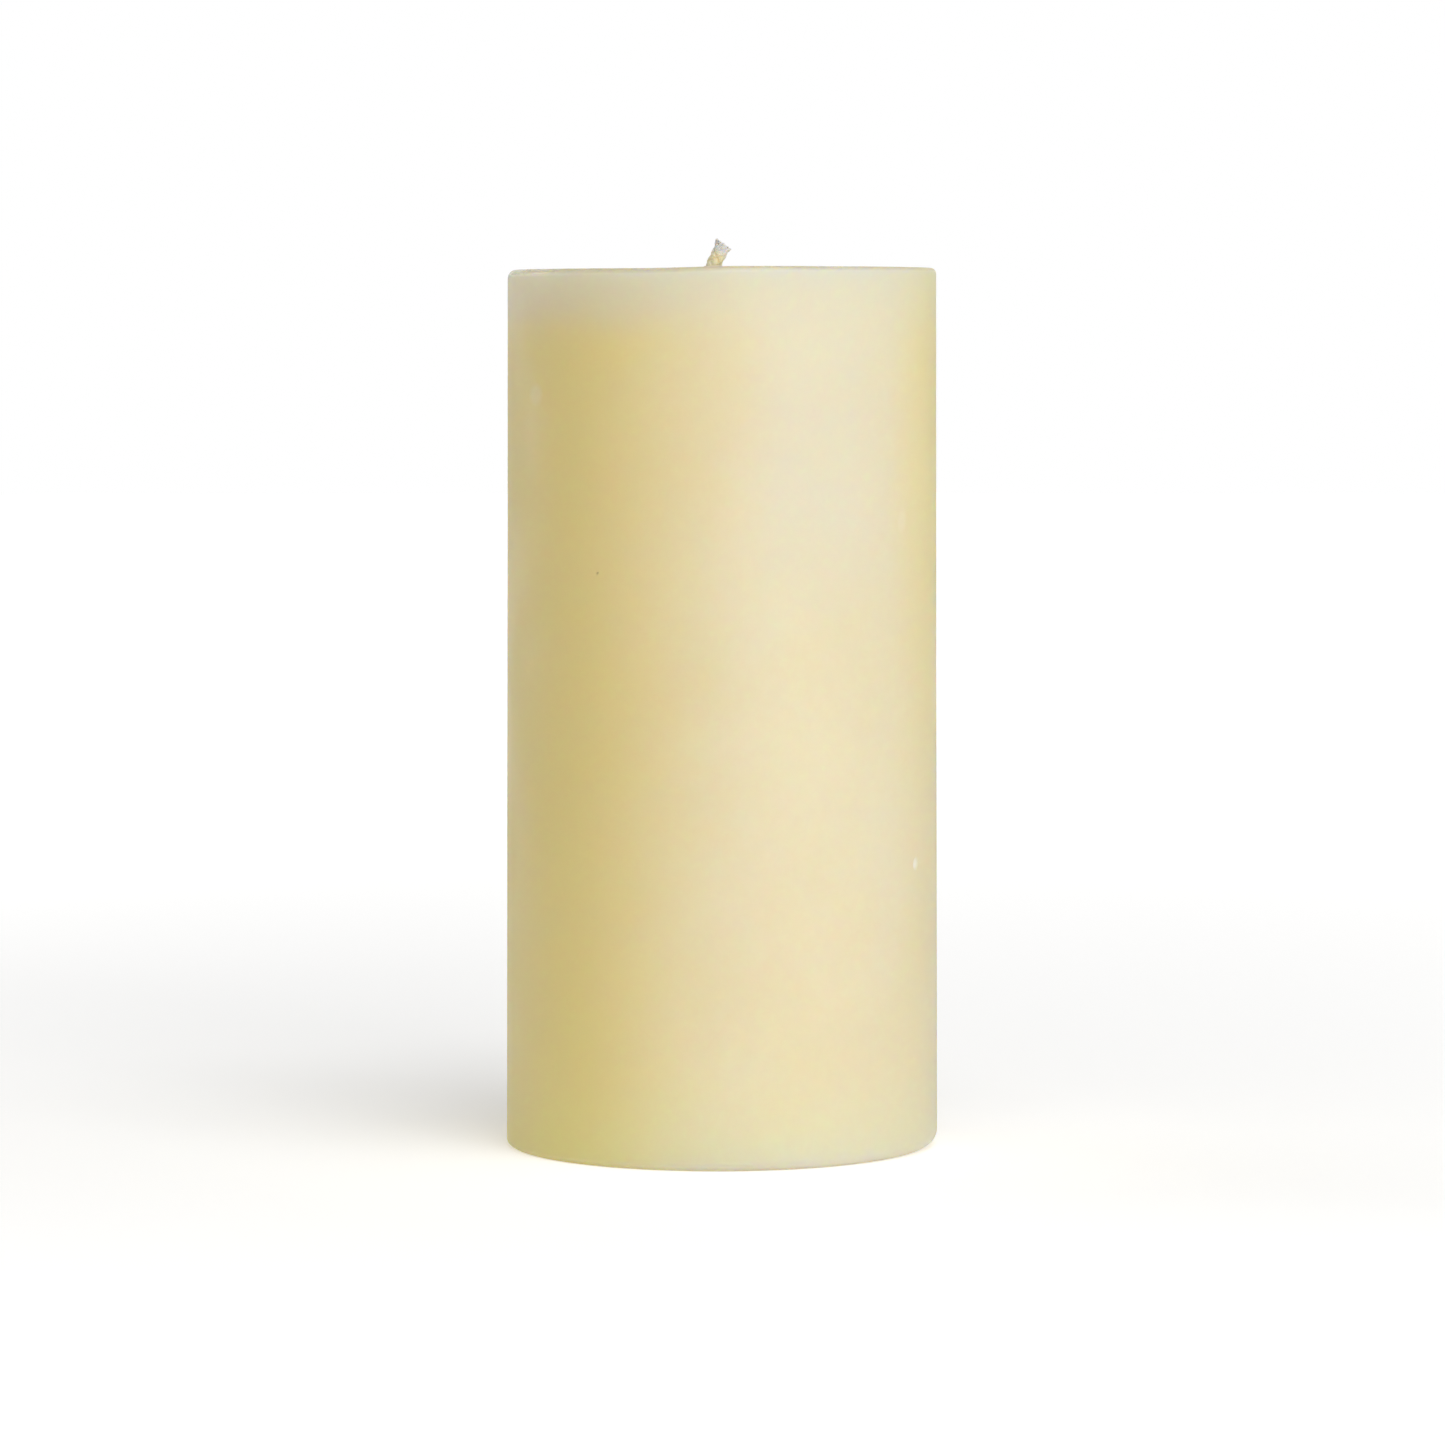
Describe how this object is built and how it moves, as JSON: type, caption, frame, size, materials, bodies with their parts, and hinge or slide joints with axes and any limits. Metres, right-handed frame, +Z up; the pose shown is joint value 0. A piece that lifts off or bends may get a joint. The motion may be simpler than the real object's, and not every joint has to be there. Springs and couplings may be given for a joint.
{
  "type": "pillar candle",
  "caption": "Plain round pillar candle: cast wax cylinder with soft rounded edges and a flat ring base, and a short braided cotton wick leaning from a slightly dished top.",
  "frame": {"origin": "middle of the base, on the surface that the candle stands on", "axes": "+Z up along the candle, +X towards the side that the wick's end leans to, -Y towards the viewer of the picture"},
  "size_m": [0.0752, 0.0752, 0.1574],
  "materials": {
    "wax": "satin ivory candle wax, slightly translucent",
    "cotton": "braided cotton primed with wax, paler at the dry cut end",
    "tinplate": "plain stamped tinplate, faint wax film"
  },
  "bodies": {
    "root": {"wax_body": "wax", "wick": "cotton", "wick_sustainer": "tinplate"}
  },
  "joints": []
}
